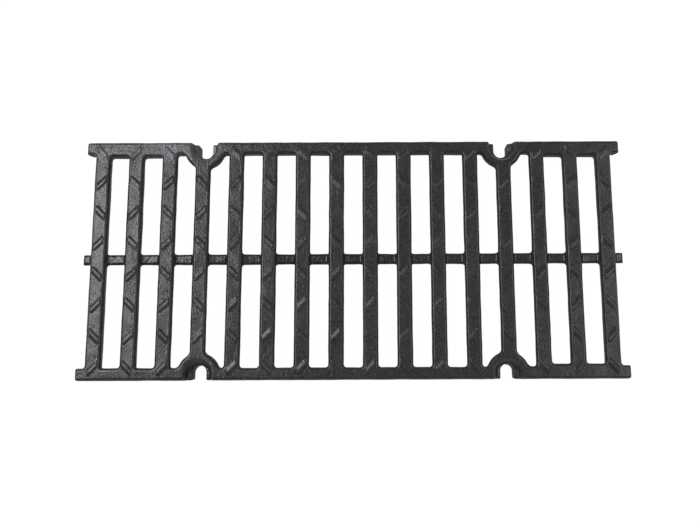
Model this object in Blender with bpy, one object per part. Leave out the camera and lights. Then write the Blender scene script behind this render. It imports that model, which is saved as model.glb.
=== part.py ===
"""Slotted grate for a drainage channel, cast in one piece of ductile iron.

Sixteen tapered bars run across between two long rails, and a sunk rib ties them together at mid
width. Four notches in the rails take the lock-down bolts, and low slanting ridges stand on the bars.
The origin is at the middle of the underside, X runs along the grate and Z is up. Metres.
"""

import math

import bmesh
import bpy
from mathutils import Vector

# Plan of the casting
bar_count = 16
bar_pitch = 0.03125
grate_width = 0.222
bar_top_width = 0.0140
rail_top_width = 0.0112
rib_top_width = 0.0100
lug_corner_radius = 0.0025
slot_corner_radius = 0.0025
rib_corner_radius = 0.003

# Heights, from the wearing surface down
plate_height = 0.020
bar_depth = 0.015
rib_drop = 0.005

# Widths at the foot of each member, where the mould's draft has thinned it
bar_foot_width = 0.0078
rail_web_width = 0.0090
rail_foot_width = 0.0065
rib_foot_width = 0.0065
outer_draft = 0.001
foot_step = 0.0008

# Rounded top edges
edge_radius = 0.002
rib_edge_radius = 0.0012

# Bolt notches: a boss, a sunk ledge for the bolt's head, and an open slot for its shank
notch_bar = 3
notch_inset = 0.006
notch_offset = 0.001
boss_radius = 0.0187
boss_draft = 0.0003
boss_wall_depth = 0.0085
boss_foot_radius = 0.0145
recess_radius = 0.0124
recess_floor_radius = 0.0100
recess_edge_radius = 0.0012
ledge_depth = 0.008
bolt_slot_radius = 0.0064
bolt_slot_foot_radius = 0.0058
bolt_slot_run = 0.0017

# Raised ridges, slanting to and fro across each bar, as many as its length takes
ridge_pitch = 0.0285
ridge_span = 0.0098
ridge_top_span = 0.0057
ridge_width = 0.0056
ridge_top_width = 0.0022
ridge_tip = 0.0015
ridge_height = 0.0010
ridge_angle = math.radians(44)

# Roundness of the faceted edges
edge_steps = 2
corner_steps = 3
boss_steps = 18
recess_steps = 12

# How far a core runs past the face that it breaks through
overrun = 0.002

grate_length = bar_count * bar_pitch
edge_z = plate_height - edge_radius
bar_foot_z = plate_height - bar_depth
rib_top_z = plate_height - rib_drop
rib_edge_z = rib_top_z - rib_edge_radius
ledge_z = plate_height - ledge_depth
notch_y = grate_width / 2 - notch_inset
ridge_reach = ridge_span / 2 * math.tan(ridge_angle) + ridge_width / 2 / math.cos(ridge_angle) - ridge_tip / 2
outermost_ridge_y = grate_width / 2 - edge_radius - ridge_reach
ridges_per_side = int(outermost_ridge_y / ridge_pitch + 0.5)


def slot_x(index):
    """Middle of a slot, counted from 0 at the -X end, where half a slot is open between the lugs."""
    return index * bar_pitch - grate_length / 2


def bar_x(index):
    """Centre line of a bar, counted from 0 at the -X end."""
    return slot_x(index + 0.5)


def edge_levels():
    """(height, offset) pairs up the quarter round of the top edges, from its foot to the surface."""
    turns = [math.pi / 2 * step / edge_steps for step in range(edge_steps + 1)]
    return [(edge_z + edge_radius * math.sin(t), edge_radius * (1 - math.cos(t))) for t in turns]


def wall(z, foot, top):
    """Size at height z of a drafted member, from (height, size) at its foot and its top. Upright above."""
    share = (min(z, top[0]) - foot[0]) / (top[0] - foot[0])
    return foot[1] + share * (top[1] - foot[1])


def arc(centre_x, centre_y, radius, start, steps=corner_steps):
    """Points of a quarter circle, anticlockwise from the start angle in degrees."""
    turns = [math.radians(start + 90 * step / steps) for step in range(steps + 1)]
    return [(centre_x + radius * math.cos(t), centre_y + radius * math.sin(t)) for t in turns]


def outline(half_x, half_y, radius):
    """Rounded rectangle about the origin, anticlockwise."""
    x, y = half_x - radius, half_y - radius
    return arc(x, y, radius, 0) + arc(-x, y, radius, 90) + arc(-x, -y, radius, 180) + arc(x, -y, radius, 270)


def ring(bm, points, z):
    return [bm.verts.new((x, y, z)) for x, y in points]


def bridge(bm, lower, upper):
    """Wall of quads between two rings with as many points."""
    for i in range(len(lower)):
        j = (i + 1) % len(lower)
        bm.faces.new((lower[i], lower[j], upper[j], upper[i]))


def loft(bm, rings):
    """Closed solid through rings of points, each given as (z, points)."""
    made = [ring(bm, points, z) for z, points in rings]
    for lower, upper in zip(made, made[1:]):
        bridge(bm, lower, upper)
    bm.faces.new(made[0])
    bm.faces.new(made[-1])


def mesh_object(name, bm):
    bmesh.ops.recalc_face_normals(bm, faces=bm.faces)
    mesh = bpy.data.meshes.new(name)
    bm.to_mesh(mesh)
    bm.free()
    mesh.shade_smooth()
    mesh.set_sharp_from_angle(angle=math.radians(40))
    obj = bpy.data.objects.new(name, mesh)
    bpy.context.scene.collection.objects.link(obj)
    return obj


def as_tool(obj):
    """Hides a solid that only cuts or joins."""
    obj.hide_render = True
    obj.display_type = "WIRE"
    return obj


def boolean(target, operation, tool):
    modifier = target.modifiers.new(f"{operation.lower()} {tool.name}", "BOOLEAN")
    modifier.operation = operation
    modifier.solver = "EXACT"
    modifier.object = tool


def slab():
    """The casting's envelope: drafted sides, rounded top edge and rounded lug corners."""
    bm = bmesh.new()
    half_x, half_y = grate_length / 2, grate_width / 2
    inset_levels = [(0.0, outer_draft)] + edge_levels()
    rings = [(z, outline(half_x - inset, half_y - inset, lug_corner_radius)) for z, inset in inset_levels]
    loft(bm, rings)
    return mesh_object("drain_grate", bm)


def half_slot(z, flare, rib_half):
    """Outline of a slot on the -Y side of the rib, about the slot's middle and anticlockwise.

    The first list runs along a bar, the rail and the next bar, and the second along the rib.
    """
    bar_width = wall(z, (bar_foot_z, bar_foot_width), (edge_z, bar_top_width))
    rail_width = wall(z, (bar_foot_z, rail_web_width), (edge_z, rail_top_width))
    side = (bar_pitch - bar_width) / 2 + flare
    end = grate_width / 2 - rail_width + flare
    radius = slot_corner_radius + flare
    joint = rib_half + rib_corner_radius
    outer = [(-side, -joint)]
    outer += arc(radius - side, radius - end, radius, 180)
    outer += arc(side - radius, radius - end, radius, 270)
    outer.append((side, -joint))
    inner = arc(side - rib_corner_radius, -joint, rib_corner_radius, 0)
    inner += arc(rib_corner_radius - side, -joint, rib_corner_radius, 90)
    return outer, inner[1:-1]


def rib_levels():
    """(height, half width) down the rib, from its flat top round its edges to below its foot."""
    foot, top = (bar_foot_z, rib_foot_width / 2), (rib_edge_z, rib_top_width / 2)
    turns = [math.pi / 2 * step / edge_steps for step in range(edge_steps + 1)]
    levels = [
        (rib_edge_z + rib_edge_radius * math.cos(t), top[1] - rib_edge_radius * (1 - math.sin(t))) for t in turns
    ]
    low_z = bar_foot_z - overrun
    return levels + [(low_z, wall(low_z, foot, top))]


def slot_core(bm, x):
    """Core of one slot. Above the rib it is one long pocket, and below it parts into two."""

    def halves(points, z):
        """A half's points as vertices on both sides of the rib, the second lot turned half a turn."""
        return [ring(bm, [(x + turn * px, turn * py) for px, py in points], z) for turn in (1, -1)]

    rib_half = rib_levels()[0][1]
    upper = [(plate_height + overrun, edge_radius)] + edge_levels()[::-1] + [(rib_top_z, 0.0)]
    above = None
    for z, flare in upper:
        outer, inner = half_slot(z, flare, rib_half)
        outers = halves(outer, z)
        whole = outers[0] + outers[1]
        if above:
            bridge(bm, whole, above)
        else:
            bm.faces.new(whole)
        above = whole

    inners = halves(inner, rib_top_z)
    pairs = list(zip(outers, inners))
    rib_top = [[outer[-1]] + inner + [outer[0]] for outer, inner in pairs]
    bm.faces.new(rib_top[0] + rib_top[1])
    above = [outer + inner for outer, inner in pairs]
    for z, rib_half in rib_levels()[1:]:
        outer, inner = half_slot(z, 0.0, rib_half)
        below = halves(outer + inner, z)
        bridge(bm, below[0], above[0])
        bridge(bm, below[1], above[1])
        above = below
    bm.faces.new(above[0])
    bm.faces.new(above[1])


def slot_cores():
    """Every slot, with the two at the ends cutting half their width off the slab between the lugs."""
    bm = bmesh.new()
    for index in range(bar_count + 1):
        slot_core(bm, slot_x(index))
    return as_tool(mesh_object("slot_cores", bm))


def belly_core():
    """Space under the bars: it lifts them clear of the seat and narrows the rails to their feet."""
    bm = bmesh.new()
    foot = (0.0, grate_width / 2 - outer_draft - rail_foot_width)
    top = (bar_foot_z, grate_width / 2 - rail_web_width + foot_step)
    x = grate_length / 2 + overrun
    rings = []
    for z in (-overrun, bar_foot_z):
        y = wall(z, foot, top)
        rings.append((z, [(-x, -y), (x, -y), (x, y), (-x, y)]))
    loft(bm, rings)
    return as_tool(mesh_object("belly_core", bm))


def notch_places():
    """(x, y, side) of the four bolt notches, each a little off its bar towards the grate's middle."""
    left, right = bar_x(notch_bar) + notch_offset, bar_x(bar_count - 1 - notch_bar) - notch_offset
    return [(x, side * notch_y, side) for side in (-1, 1) for x in (left, right)]


def bay(x, y, side, radius, mouth_y, steps):
    """Outline that bends round (x, y) on the grate's inner side and runs straight out to mouth_y."""
    turns = [math.pi * step / steps for step in range(steps + 1)]
    bend = [(x + radius * math.cos(t), y - side * radius * math.sin(t)) for t in turns]
    return bend + [(x - radius, mouth_y), (x + radius, mouth_y)]


def bosses():
    """Bosses around the notches: upright above, cupped below, with the straight side buried in the rail."""
    bm = bmesh.new()
    rail_middle = grate_width / 2 - outer_draft - rail_foot_width / 2
    levels = [(0.0, boss_foot_radius), (plate_height - boss_wall_depth, boss_radius - boss_draft)]
    levels += [(z, boss_radius - inset) for z, inset in edge_levels()]
    for x, y, side in notch_places():
        loft(bm, [(z, bay(x, y, side, radius, side * rail_middle, boss_steps)) for z, radius in levels])
    return as_tool(mesh_object("bosses", bm))


def notch_cores():
    """Bolt notches, open at the rail's outer face: a dished recess over a narrower slot that runs further in."""
    slot_edge = recess_edge_radius / 2
    slot_foot, slot_top = (0.0, bolt_slot_foot_radius), (ledge_z - slot_edge, bolt_slot_radius)
    slot = [
        (-overrun, wall(-overrun, slot_foot, slot_top)),
        slot_top,
        (ledge_z, bolt_slot_radius + slot_edge),
    ]
    recess = [
        (ledge_z, recess_floor_radius),
        (ledge_z + recess_edge_radius, recess_floor_radius + recess_edge_radius / 2),
        (plate_height - recess_edge_radius, recess_radius),
        (plate_height, recess_radius + recess_edge_radius),
        (plate_height + overrun, recess_radius + recess_edge_radius),
    ]
    bm = bmesh.new()
    outside = grate_width / 2 + overrun
    for x, y, side in notch_places():
        slot_y = y - side * bolt_slot_run
        rings = [(z, bay(x, slot_y, side, radius, side * outside, recess_steps)) for z, radius in slot]
        rings += [(z, bay(x, y, side, radius, side * outside, recess_steps)) for z, radius in recess]
        loft(bm, rings)
    return as_tool(mesh_object("notch_cores", bm))


def ridge_outline(x, y, span, width, lean):
    """Band slanting across a bar: its ends run along the bar, and its two sharp corners are cut off."""
    rise = span / 2 * math.tan(ridge_angle)
    flank = width / 2 / math.cos(ridge_angle)
    tip = ridge_tip * width / ridge_width
    cut_x, cut_y = tip * math.cos(ridge_angle), tip * math.sin(ridge_angle)
    lower = [(cut_x - span / 2, cut_y - rise - flank), (span / 2, rise - flank), (span / 2, rise + flank - tip)]
    points = lower + [(-px, -py) for px, py in lower]
    return [(x + px, y + lean * py) for px, py in points[::lean]]


def ridge(bm, x, y, lean):
    """One low ridge with sloping flanks and ends, sunk into the surface that carries it."""
    rings = []
    for height in (-ridge_height / 2, ridge_height):
        share = height / ridge_height
        span = ridge_span + (ridge_top_span - ridge_span) * share
        width = ridge_width + (ridge_top_width - ridge_width) * share
        rings.append((plate_height + height, ridge_outline(x, y, span, width, lean)))
    loft(bm, rings)


def ridges():
    """Herringbone of ridges on the bars, left out where a notch takes their place."""
    bm = bmesh.new()
    reach = recess_radius + recess_edge_radius + ridge_reach
    for bar in range(bar_count):
        for place in range(2 * ridges_per_side):
            x = bar_x(bar)
            y = (ridges_per_side - 0.5 - place) * ridge_pitch
            if any((Vector((x, y)) - Vector((nx, ny))).length < reach for nx, ny, _ in notch_places()):
                continue
            ridge(bm, x, y, -1 if (bar + place) % 2 == 0 else 1)
    return as_tool(mesh_object("ridges", bm))


def cast_iron():
    material = bpy.data.materials.new("cast_iron")
    material.use_nodes = True
    shader = material.node_tree.nodes["Principled BSDF"]
    shader.inputs["Base Color"].default_value = (0.050, 0.052, 0.056, 1.0)
    shader.inputs["Metallic"].default_value = 0.35
    shader.inputs["Roughness"].default_value = 0.55
    return material


for old in list(bpy.data.objects):
    bpy.data.objects.remove(old, do_unlink=True)

grate = slab()
boolean(grate, "DIFFERENCE", slot_cores())
boolean(grate, "DIFFERENCE", belly_core())
boolean(grate, "UNION", bosses())
boolean(grate, "DIFFERENCE", notch_cores())
boolean(grate, "UNION", ridges())
grate.data.materials.append(cast_iron())
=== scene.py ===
"""Slotted grate for a drainage channel, lying on a white surface and seen from above."""

import math
import random

import bmesh
import bpy
from mathutils import Matrix, Vector
from mathutils.bvhtree import BVHTree


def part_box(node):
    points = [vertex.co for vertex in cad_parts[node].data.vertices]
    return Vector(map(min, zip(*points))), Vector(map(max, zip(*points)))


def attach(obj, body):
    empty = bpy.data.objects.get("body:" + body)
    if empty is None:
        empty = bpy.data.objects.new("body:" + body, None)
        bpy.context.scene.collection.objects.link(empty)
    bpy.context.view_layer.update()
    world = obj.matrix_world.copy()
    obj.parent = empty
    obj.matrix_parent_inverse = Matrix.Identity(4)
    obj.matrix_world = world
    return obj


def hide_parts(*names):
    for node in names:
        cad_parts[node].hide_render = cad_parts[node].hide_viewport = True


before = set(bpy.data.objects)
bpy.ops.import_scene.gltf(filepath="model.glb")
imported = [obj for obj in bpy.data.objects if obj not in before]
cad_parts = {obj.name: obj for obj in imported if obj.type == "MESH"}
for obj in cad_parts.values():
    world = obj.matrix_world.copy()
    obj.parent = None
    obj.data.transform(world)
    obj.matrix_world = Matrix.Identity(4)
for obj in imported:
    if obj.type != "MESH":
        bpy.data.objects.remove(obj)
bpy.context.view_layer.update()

scene = bpy.context.scene
scene.view_settings.view_transform = "Standard"


# The grate. The real piece is poured in one go of ductile iron in a sand mould and dipped in black
# coating: bars, rails, sunk middle rib and bolt bosses run into each other with soft fillets, low
# ridges slant to and fro across the bars, and every face is slightly drafted and slightly uneven.
grate_low, grate_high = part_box("drain_grate")
ridge_height = 0.0010
bar_count = 16
bar_pitch = (grate_high.x - grate_low.x) / bar_count
plate_height = grate_high.z - ridge_height
notch_bar = 3
notch_offset = 0.001
notch_inset = 0.006

sizes = {
    "Length": grate_high.x - grate_low.x,
    "Width": grate_high.y - grate_low.y,
    "Plate Height": plate_height,
    "Edge Depth": 0.0022,
    "Edge Set Back": 0.0016,
    "Edge Rounding": 0.0008,
    "Bar Pitch": bar_pitch,
    "Bar Depth": 0.015,
    "Bar Width": 0.0140,
    "Bar Foot Width": 0.0078,
    "Slot Corner Radius": 0.0025,
    "Rail Width": 0.0112,
    "Rail Web Width": 0.0094,
    "Rail Foot Width": 0.0065,
    "Rail Foot Draft": 0.0005,
    "Rail Swell": 0.0024,
    "Outer Draft": 0.001,
    "Outer Corner Radius": 0.0025,
    "Corner Rounding": 0.0015,
    "Rib Drop": 0.005,
    "Rib Width": 0.0100,
    "Rib Foot Width": 0.0065,
    "Rib Shift": 0.0004,
    "Rib Edge Depth": 0.0012,
    "Rib Edge Radius": 0.0028,
    "Rib End Radius": 0.001,
    "Rib Fillet": 0.003,
    "Under Fillet": 0.0015,
    "Under Rounding": 0.0008,
    "Notch X": grate_high.x - (notch_bar + 0.5) * bar_pitch - notch_offset,
    "Notch Y": grate_high.y - notch_inset,
    "Boss Radius": 0.0187,
    "Boss Foot Radius": 0.0145,
    "Boss Fillet": 0.003,
    "Recess Radius": 0.0124,
    "Recess Floor Radius": 0.0101,
    "Recess Floor Fillet": 0.0015,
    "Recess Lip Depth": 0.001,
    "Ledge Depth": 0.008,
    "Ledge Rounding": 0.0008,
    "Bolt Slot Radius": 0.0064,
    "Bolt Slot Foot Radius": 0.0058,
    "Bolt Slot Run": 0.0017,
    "Notch Rounding": 0.0012,
    "Spread": 0.00035,
    "Unevenness": 0.0003,
    "Voxel": 0.0007,
}

# Along the rails, from the grate's middle: where their swelling sets in, and where most of it ends
swell_start = (0.168, 0.176)
swell_end = (0.229, 0.239)
swell_lost = 0.7
unevenness_scale = 45.0


class Socket:
    """An output of a node. Sums on it add Math nodes to the same tree."""

    def __init__(self, link):
        self.link = link

    def math(self, operation, *others):
        inputs = dict(enumerate((self, *others)))
        return add(self.link.id_data, "ShaderNodeMath", {"operation": operation}, inputs)

    def __add__(self, other):
        return self.math("ADD", other)

    __radd__ = __add__

    def __sub__(self, other):
        return self.math("SUBTRACT", other)

    def __rsub__(self, other):
        return self.math("MULTIPLY_ADD", -1.0, other)

    def __mul__(self, other):
        return self.math("MULTIPLY", other)

    __rmul__ = __mul__

    def __truediv__(self, other):
        return self.math("DIVIDE", other)

    def __rtruediv__(self, other):
        return self.math("POWER", -1.0) * other

    def __neg__(self):
        return self.math("MULTIPLY", -1.0)

    def __mod__(self, other):
        return self.math("FLOORED_MODULO", other)

    def __abs__(self):
        return self.math("ABSOLUTE")

    def at_least(self, other):
        return self.math("MAXIMUM", other)

    def at_most(self, other):
        return self.math("MINIMUM", other)

    def below(self, other):
        """1 where it is less than the other, and 0 elsewhere."""
        return self.math("LESS_THAN", other)

    def rises(self, start, end):
        """0 up to start, 1 from end on, and smooth between."""
        inputs = {"Value": self, "From Min": start, "From Max": end}
        return add(self.link.id_data, "ShaderNodeMapRange", {"interpolation_type": "SMOOTHSTEP"}, inputs)


def add(tree, kind, settings=None, inputs=None, output=0):
    """Adds a node to a tree: first its settings, then the values or links of its sockets."""
    node = tree.nodes.new(kind)
    for name, value in (settings or {}).items():
        setattr(node, name, value)
    for key, value in (inputs or {}).items():
        if isinstance(value, Socket):
            tree.links.new(value.link, node.inputs[key])
        else:
            node.inputs[key].default_value = value
    return Socket(node.outputs[output])


def parts_of(tree, vector):
    """X, Y and Z of a vector."""
    return [add(tree, "ShaderNodeSeparateXYZ", inputs={0: vector}, output=axis) for axis in range(3)]


def hypotenuse(a, b):
    return (a * a + b * b).math("SQRT")


def rounded(a, b, radius):
    """Distance to the shape that two faces share, with their edge rounded."""
    corner = hypotenuse((a + radius).at_least(0.0), (b + radius).at_least(0.0))
    return a.at_least(b).at_most(-radius) + corner


def filleted(a, b, radius):
    """Distance to two shapes joined, with a fillet in the corner between them."""
    corner = hypotenuse((radius - a).at_least(0.0), (radius - b).at_least(0.0))
    return a.at_most(b).at_least(radius) - corner


def drafted(z, foot_z, foot, top_z, top):
    """Size at height z of a wall that is `foot` at foot_z and `top` from top_z on."""
    slope = (top - foot) / (top_z - foot_z)
    return z.at_most(top_z) * slope + (foot - slope * foot_z)


def noise(tree, place, scale, detail=2.0, roughness=0.5):
    """Smooth noise from about -1 to 1."""
    settings = {"noise_dimensions": "3D", "normalize": False}
    inputs = {"Vector": place, "Scale": scale, "Detail": detail, "Roughness": roughness}
    return add(tree, "ShaderNodeTexNoise", settings, inputs)


def casting(tree, place, size):
    """Signed distance to the casting's surface without its ridges, in metres and negative in the iron."""
    x, y, z = parts_of(tree, place)
    out_x, out_y = abs(x), abs(y)
    half_length, half_width = size["Length"] / 2, size["Width"] / 2
    plate_top = size["Plate Height"]
    edge_z = plate_top - size["Edge Depth"]
    bar_foot_z = plate_top - size["Bar Depth"]
    spread = size["Spread"]

    # Bars, rails and bosses in plan, each thinner at its foot
    across = abs(x % size["Bar Pitch"] - size["Bar Pitch"] / 2)
    bar_half = drafted(z, bar_foot_z, size["Bar Foot Width"] / 2, edge_z, size["Bar Width"] / 2)
    bars = across - bar_half - spread

    swelling = out_x.rises(*swell_start) - swell_lost * out_x.rises(*swell_end)
    swell = size["Rail Swell"] * swelling * (1 - x.below(0.0) * y.below(0.0))
    rail_width = drafted(z, bar_foot_z, size["Rail Web Width"], edge_z, size["Rail Width"])
    rails = half_width - out_y - rail_width - swell - spread

    from_notch_x, from_notch_y = out_x - size["Notch X"], out_y - size["Notch Y"]
    ledge_z = plate_top - size["Ledge Depth"]
    cup_radius = drafted(z, 0.0, size["Boss Foot Radius"], ledge_z, size["Boss Radius"])
    bosses = hypotenuse(from_notch_x, from_notch_y) - cup_radius - spread

    draft = drafted(z, 0.0, size["Outer Draft"], edge_z, 0.0)
    past_end, past_side = out_x - half_length + draft, out_y - half_width + draft
    plan = filleted(filleted(bars, rails, size["Slot Corner Radius"]), bosses, size["Boss Fillet"])
    plan = rounded(plan, rounded(past_end, past_side, size["Outer Corner Radius"]), size["Corner Rounding"])

    # The wearing surface and its worn, slanting edge
    edge_depth, set_back = size["Edge Depth"], size["Edge Set Back"]
    edge = (plan + set_back) * edge_depth + (z - plate_top) * set_back
    cast = rounded(plan, edge / hypotenuse(edge_depth, set_back), size["Edge Rounding"])
    cast = rounded(cast, z - plate_top, size["Edge Rounding"])

    # The sunk rib
    rib_top = plate_top - size["Rib Drop"]
    rib_edge_z = rib_top - size["Rib Edge Depth"]
    rib_half = drafted(z, bar_foot_z, size["Rib Foot Width"] / 2, rib_edge_z, size["Rib Width"] / 2)
    rib = rounded(abs(y + size["Rib Shift"]) - rib_half - spread / 2, past_end, size["Rib End Radius"])
    rib = rounded(rib, z - rib_top, size["Rib Edge Radius"])
    cast = filleted(cast, rib, size["Rib Fillet"])

    # Below the bars only the rails' feet and the bosses go on down
    foot_width, foot_draft = size["Rail Foot Width"], size["Rail Foot Draft"]
    foot_width = drafted(z, 0.0, foot_width, bar_foot_z, foot_width + foot_draft)
    feet = half_width - out_y - foot_width - size["Outer Draft"]
    standing = filleted(feet, bosses, size["Boss Fillet"]).at_least(-z)
    under = filleted(bar_foot_z - z, standing, size["Under Fillet"])
    cast = rounded(cast, under, size["Under Rounding"])

    # The bolt notches, open to the long edge
    from_middle = hypotenuse(from_notch_x, from_notch_y.at_most(0.0))
    lip_z = plate_top - size["Recess Lip Depth"]
    recess_radius = drafted(z, ledge_z, size["Recess Floor Radius"], lip_z, size["Recess Radius"])
    recess = rounded(from_middle - recess_radius, ledge_z - z, size["Recess Floor Fillet"])
    slot_radius = drafted(z, 0.0, size["Bolt Slot Foot Radius"], ledge_z, size["Bolt Slot Radius"])
    from_slot_y = (from_notch_y + size["Bolt Slot Run"]).at_most(0.0)
    bolt_slot = hypotenuse(from_notch_x, from_slot_y) - slot_radius
    notch = filleted(recess, bolt_slot, size["Ledge Rounding"])
    cast = rounded(cast, -notch, size["Notch Rounding"])

    cast = cast + noise(tree, place, unevenness_scale) * size["Unevenness"]
    box = (out_x - half_length).at_least(out_y - half_width).at_least(-z)
    return cast.at_least(box)


def casting_tree():
    """Geometry Nodes: the distance field fills a box of voxels, and its zero surface becomes the mesh."""
    tree = bpy.data.node_groups.new("casting", "GeometryNodeTree")
    face = tree.interface
    face.new_socket("Geometry", in_out="INPUT", socket_type="NodeSocketGeometry")
    face.new_socket("Geometry", in_out="OUTPUT", socket_type="NodeSocketGeometry")
    for name in sizes:
        face.new_socket(name, in_out="INPUT", socket_type="NodeSocketFloat")
    face.new_socket("Iron", in_out="INPUT", socket_type="NodeSocketMaterial")
    group = tree.nodes.new("NodeGroupInput")
    size = {name: Socket(group.outputs[name]) for name in (*sizes, "Iron")}

    place = add(tree, "GeometryNodeInputPosition")
    distance = casting(tree, place, size)
    margin = 0.004
    voxel = size["Voxel"]
    spans = [size[name] + 2 * margin for name in ("Length", "Width", "Plate Height")]
    low = {0: spans[0] * -0.5, 1: spans[1] * -0.5, 2: -margin}
    high = {0: spans[0] * 0.5, 1: spans[1] * 0.5, 2: spans[2] - margin}
    inputs = {
        "Density": 0.5 - distance / (4 * voxel),
        "Background": 0.0,
        "Min": add(tree, "ShaderNodeCombineXYZ", inputs=low),
        "Max": add(tree, "ShaderNodeCombineXYZ", inputs=high),
    }
    for axis, span in zip("XYZ", spans):
        inputs[f"Resolution {axis}"] = (span / voxel).math("CEIL")
    volume = add(tree, "GeometryNodeVolumeCube", inputs=inputs)
    inputs = {"Volume": volume, "Threshold": 0.5}
    mesh = add(tree, "GeometryNodeVolumeToMesh", {"resolution_mode": "GRID"}, inputs)
    mesh = add(tree, "GeometryNodeSetShadeSmooth", inputs={"Geometry": mesh})
    mesh = add(tree, "GeometryNodeRealizeInstances", inputs={"Geometry": mesh})
    mesh = add(tree, "GeometryNodeSetMaterial", inputs={"Geometry": mesh, "Material": size["Iron"]})
    output = tree.nodes.new("NodeGroupOutput")
    tree.links.new(mesh.link, output.inputs[0])
    return tree


casting_thinning = 0.15
ridge_pitch = 0.0285
ridge_rows = 8
ridge_angle = math.radians(46)
ridge_span = 0.0092
ridge_width = 0.0062
ridge_corner = 0.2
ridge_end_slope = 0.36
ridge_crest_shift = 0.18
ridge_heights = (0.55, 0.85)
worn_row_height = 0.5
ridge_drift = 0.0002
ridge_wobble = 0.0001

# Steps from inside the bar up to a ridge's crest: (share of its half width, share of its height)
ridge_levels = ((1.1, -0.4), (1.0, 0.04), (0.84, 0.24), (0.62, 0.58), (0.42, 0.88), (0.25, 1.0))


def ridge_outline(span, width, corner):
    """Slanting band with ends along the bar and round corners, anticlockwise about the origin."""
    turns = (0.0, math.pi / 2 + ridge_angle, math.pi, math.pi * 1.5 + ridge_angle, math.pi * 2)
    points = []
    for number, (end, side) in enumerate(((1, 1), (-1, 1), (-1, -1), (1, -1))):
        x = end * (span / 2 - corner)
        y = x * math.tan(ridge_angle) + side * (width / 2 - corner) / math.cos(ridge_angle)
        for step in range(3):
            turn = turns[number] + (turns[number + 1] - turns[number]) * step / 2
            points.append((x + corner * math.cos(turn), y + corner * math.sin(turn)))
    return points


def add_ridge(bm, ground, x, y, lean, height, chance):
    """One ridge that follows the ground. Its crest lies nearer to its right-hand flank, which is steeper."""
    down = Vector((0, 0, -1))
    rings = []
    for share, rise in ridge_levels:
        inset = ridge_width * (1 - share)
        span = ridge_span - ridge_end_slope * inset
        ring = []
        for px, py in ridge_outline(span, ridge_width - inset, ridge_width * ridge_corner * share)[::lean]:
            px = x + px + chance.uniform(-ridge_wobble, ridge_wobble)
            py = y + lean * (py - ridge_crest_shift * inset) + chance.uniform(-ridge_wobble, ridge_wobble)
            foot = ground.ray_cast(Vector((px, py, grate_high.z)), down, 0.003)[0]
            foot_z = foot.z if foot else plate_height
            ring.append(bm.verts.new((px, py, min(foot_z + rise * height, grate_high.z))))
        rings.append(ring)
    bm.faces.new(rings[-1])
    bm.faces.new(rings[0][::-1])
    for lower, upper in zip(rings, rings[1:]):
        for i in range(len(lower)):
            bm.faces.new((lower[i - 1], lower[i], upper[i], upper[i - 1]))


def ridge_mesh(ground):
    """All the ridges. None stands where a bolt notch cuts the end of its bar."""
    bm = bmesh.new()
    chance = random.Random(4)
    for bar in range(bar_count):
        for row in range(ridge_rows):
            if row in (0, ridge_rows - 1) and bar in (notch_bar, bar_count - 1 - notch_bar):
                continue
            x = (bar + 0.5) * bar_pitch + grate_low.x + chance.uniform(-ridge_drift, ridge_drift)
            y = ((ridge_rows - 1) / 2 - row) * ridge_pitch + chance.uniform(-ridge_drift, ridge_drift)
            lean = -1 if (bar + row) % 2 == 0 else 1
            height = ridge_height * chance.uniform(*ridge_heights) * (worn_row_height if row == 0 else 1.0)
            add_ridge(bm, ground, x, y, lean, height, chance)
    mesh = bpy.data.meshes.new("ridges")
    bm.to_mesh(mesh)
    bm.free()
    return mesh


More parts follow.
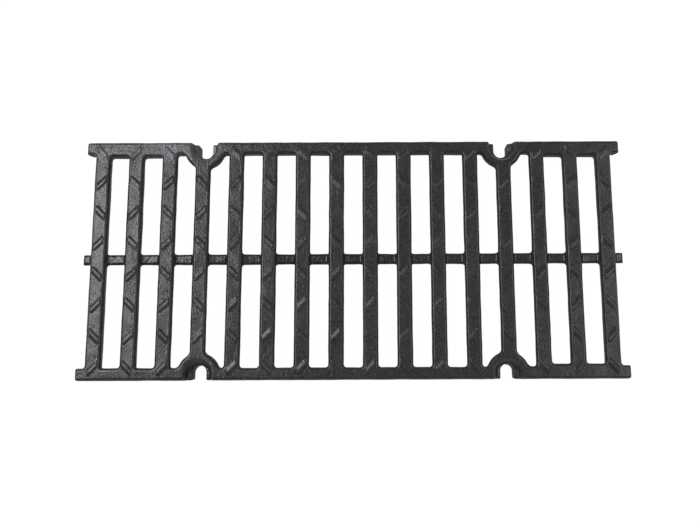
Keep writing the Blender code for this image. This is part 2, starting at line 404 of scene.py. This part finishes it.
def cast_iron():
    """Black coated iron: sandy grain and pits that glint where light grazes up-facing faces, dull walls.
    Painted in the colour: glints at specks, a sheen on the back rail's left end, lighter walls and shade on
    the sunk rib.
    """
    material = bpy.data.materials.new("cast_iron")
    material.use_nodes = True
    tree = material.node_tree
    tree.nodes.clear()
    place = add(tree, "ShaderNodeTexCoord", output="Object")
    x, y, z = parts_of(tree, place)
    facing = parts_of(tree, add(tree, "ShaderNodeNewGeometry", output="Normal"))[2]

    # Places on the grate, 0 to 1: the sunk rib, the rail at the back, its worn left end, which also takes a
    # painted sheen, coarse and calm stretches, and the raised lip beside each bar's edges
    rail_edge = (0.088, 0.100)
    on_rib = 1 - z.rises(plate_height - 0.0045, plate_height - 0.003)
    on_rail = y.rises(*rail_edge) * (1 - x.rises(-0.1, 0.0) * 0.5)
    # The back rail's left end: worn coat, and also where a painted sheen is put.
    worn_and_sheen = on_rail * (1 - x.rises(-0.14, -0.11))
    coarse = noise(tree, place, 14.0, 2.0).rises(0.0, 0.6).at_least(on_rail).at_least(on_rib * 0.7)
    coarse = coarse.at_least((-y).rises(*rail_edge) * x.rises(-0.15, -0.05) * 0.6)
    calm = 1 - (0.5 + on_rib * 0.2) * x.rises(-0.02, 0.15)
    across = abs(x % bar_pitch - bar_pitch / 2)
    lip = across.rises(0.0036, 0.0050) * (1 - abs(y).rises(0.094, 0.098))

    # What the sand left, by how many to the metre
    patches = noise(tree, place, 30.0, 3.0)
    hollows = noise(tree, place, 130.0, 1.0).rises(0.1, 0.5) * on_rib
    pits = noise(tree, place, 230.0, 2.0).rises(0.28, 0.62)
    grain = noise(tree, place, 400.0, 3.0, 0.6)
    specks = noise(tree, place, 600.0, 1.0).rises(0.40, 0.75)

    # Heights in metres: where the surface is smooth, and what coarse places add
    height = grain * (0.00003 + coarse * 0.00004) - hollows * 0.00012
    height = height + specks * (0.00009 + coarse * 0.00007) - pits * (0.00006 + coarse * 0.00008)
    height = height * calm + lip * 0.00006

    # Specks, and most of all the back rail's left end, are lighter and metallic: partly bare iron where the
    # coat is worn, partly painted glints and a painted sheen. Walls are duller than faces that look up.
    bare_and_glints = specks * 0.2 + worn_and_sheen * (specks * 0.3 + 0.1 + 0.2 * x.rises(-0.22, -0.17))
    # Painted light: walls, the faces that look sideways or down, get a lighter colour that stands in for
    # light reaching them.
    painted_wall_light = 1 - facing.rises(0.1, 0.5)
    coat_tone, painted_wall_light_tone, bare_and_glint_tone, darkest = 0.034, 0.025, 0.25, 0.012
    tone = coat_tone + 0.005 * patches + grain * 0.013 - pits * 0.008 + bare_and_glints * bare_and_glint_tone + painted_wall_light * painted_wall_light_tone
    # Painted shade: the sunk rib between the bars is darkened left of the middle, fading out just past it.
    tone = tone - on_rib * (1 - x.rises(0.0, 0.08)) * 0.01
    tone = tone.at_least(darkest)
    colour = add(tree, "ShaderNodeCombineColor", inputs={0: tone * 0.95, 1: tone, 2: tone * 1.07})
    wall_roughness, top_gain = 0.85, 0.55
    rough = wall_roughness - facing.rises(0.15, 0.6) * top_gain
    rough = rough + patches * 0.03 + grain * 0.04 - on_rib * 0.06
    bump = add(tree, "ShaderNodeBump", inputs={"Strength": 1.0, "Distance": 1.0, "Height": height})
    inputs = {"Base Color": colour, "Roughness": rough, "Normal": bump, "Metallic": bare_and_glints}
    shader = add(tree, "ShaderNodeBsdfPrincipled", inputs=inputs)
    output = tree.nodes.new("ShaderNodeOutputMaterial")
    tree.links.new(shader.link, output.inputs["Surface"])
    return material


iron = cast_iron()
maker = bpy.data.objects.new("maker", bpy.data.meshes.new("maker"))
scene.collection.objects.link(maker)
modifier = maker.modifiers.new("casting", "NODES")
modifier.node_group = casting_tree()
values = {**sizes, "Iron": iron}
for item in modifier.node_group.interface.items_tree:
    if item.in_out == "INPUT" and item.name in values:
        modifier[item.identifier] = values[item.name]
thinned = maker.modifiers.new("thinned", "DECIMATE")
thinned.ratio = casting_thinning
mesh = bpy.data.meshes.new_from_object(maker.evaluated_get(bpy.context.evaluated_depsgraph_get()))
mesh.materials.pop(index=0)
maker.modifiers.clear()
maker.data = mesh

body = bmesh.new()
body.from_mesh(mesh)
ridges = bpy.data.objects.new("ridges", ridge_mesh(BVHTree.FromBMesh(body)))
body.free()
ridges.data.materials.append(iron)
ridges.data.shade_smooth()
scene.collection.objects.link(ridges)
joined = maker.modifiers.new("joined", "BOOLEAN")
joined.operation = "UNION"
joined.solver = "MANIFOLD"
joined.object = ridges
mesh = bpy.data.meshes.new_from_object(maker.evaluated_get(bpy.context.evaluated_depsgraph_get()))
bpy.data.objects.remove(maker)
bpy.data.objects.remove(ridges)

body = bmesh.new()
body.from_mesh(mesh)
for vertex in body.verts:
    held = zip(vertex.co, grate_low, grate_high)
    vertex.co = Vector(min(max(value, low), high) for value, low, high in held)
bmesh.ops.triangulate(body, faces=body.faces)
body.to_mesh(mesh)
body.free()
grate = bpy.data.objects.new("grate_casting", mesh)
scene.collection.objects.link(grate)
shaded = grate.modifiers.new("shaded", "WEIGHTED_NORMAL")
shaded.mode = "FACE_AREA"

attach(grate, "root")
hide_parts("drain_grate")


# The surface under the grate: matt white paper, laid flat. It shows as white and takes a faint
# shadow, and it throws plain white light back at the walls of the bars.
floor_reach = 3.0
floor_gap = 0.0005
paper_glow = 0.98
paper_shadow = 0.12
paper_white = 0.8
corners = [(-floor_reach, -floor_reach, 0), (floor_reach, -floor_reach, 0)]
corners += [(floor_reach, floor_reach, 0), (-floor_reach, floor_reach, 0)]
floor_mesh = bpy.data.meshes.new("floor")
floor_mesh.from_pydata(corners, [], [(0, 1, 2, 3)])
floor = bpy.data.objects.new("floor", floor_mesh)
floor.location.z = -floor_gap
scene.collection.objects.link(floor)

paper = bpy.data.materials.new("paper")
paper.use_nodes = True
tree = paper.node_tree
tree.nodes.clear()
rays = tree.nodes.new("ShaderNodeLightPath")
seen = Socket(rays.outputs["Is Camera Ray"]).at_least(Socket(rays.outputs["Is Glossy Ray"]))
seen = seen.at_least(Socket(rays.outputs["Is Transmission Ray"]))
white = add(tree, "ShaderNodeEmission", inputs={"Color": (1, 1, 1, 1), "Strength": paper_glow})
faint = add(tree, "ShaderNodeBsdfDiffuse", inputs={"Color": (*[paper_shadow] * 3, 1)})
shown = add(tree, "ShaderNodeAddShader", inputs={0: white, 1: faint})
plain = add(tree, "ShaderNodeBsdfDiffuse", inputs={"Color": (*[paper_white] * 3, 1)})
mixed = add(tree, "ShaderNodeMixShader", inputs={0: seen, 1: plain, 2: shown})
output = tree.nodes.new("ShaderNodeOutputMaterial")
tree.links.new(mixed.link, output.inputs["Surface"])
floor_mesh.materials.append(paper)


# The light: a dim white room, a tall window panel high on the left and a weaker panel on the right.
# The window's reflection is what lifts the left-hand bars, the rib and the worn rail.
room_glow = 0.18
world = bpy.data.worlds.new("room")
scene.world = world
world.use_nodes = True
tree = world.node_tree
tree.nodes.clear()
rays = tree.nodes.new("ShaderNodeLightPath")
strength = Socket(rays.outputs["Is Camera Ray"]) * (1 - room_glow) + room_glow
room = add(tree, "ShaderNodeBackground", inputs={"Color": (1, 1, 1, 1), "Strength": strength})
output = tree.nodes.new("ShaderNodeOutputWorld")
tree.links.new(room.link, output.inputs["Surface"])

for name, place, width, depth, power in (
    ("window", (-1.6, 0.75, 3.0), 0.8, 1.6, 49.0),
    ("fill", (2.0, 0.1, 3.0), 1.0, 2.4, 30.0),
):
    light = bpy.data.lights.new(name, "AREA")
    light.shape = "RECTANGLE"
    light.size, light.size_y = width, depth
    light.energy = power
    lamp = bpy.data.objects.new(name, light)
    lamp.location = place
    scene.collection.objects.link(lamp)


# The camera: held over the grate by hand, a little below its middle, as in the photograph. Its turns
# are in radians, and the offset is the grate's middle on top as the camera sees it.
focal_pixels = 740.0
frame_pixels = 700.0
principal_pixel = 373.6
tilt, yaw, roll = 0.157776, 0.002046, 0.004795
offset = Vector((-0.018646, 0.004599, -0.678656))
turn = Matrix.Rotation(-tilt, 3, "X") @ Matrix.Rotation(yaw, 3, "Y") @ Matrix.Rotation(roll, 3, "Z")
back = turn.transposed()
lens = bpy.data.cameras.new("camera")
lens.sensor_width = 36.0
lens.lens = focal_pixels / frame_pixels * lens.sensor_width
lens.shift_x = (frame_pixels / 2 - principal_pixel) / frame_pixels
camera = bpy.data.objects.new("camera", lens)
camera.matrix_world = Matrix.Translation(Vector((0, 0, plate_height)) - back @ offset) @ back.to_4x4()
scene.collection.objects.link(camera)
scene.camera = camera

bpy.context.view_layer.update()
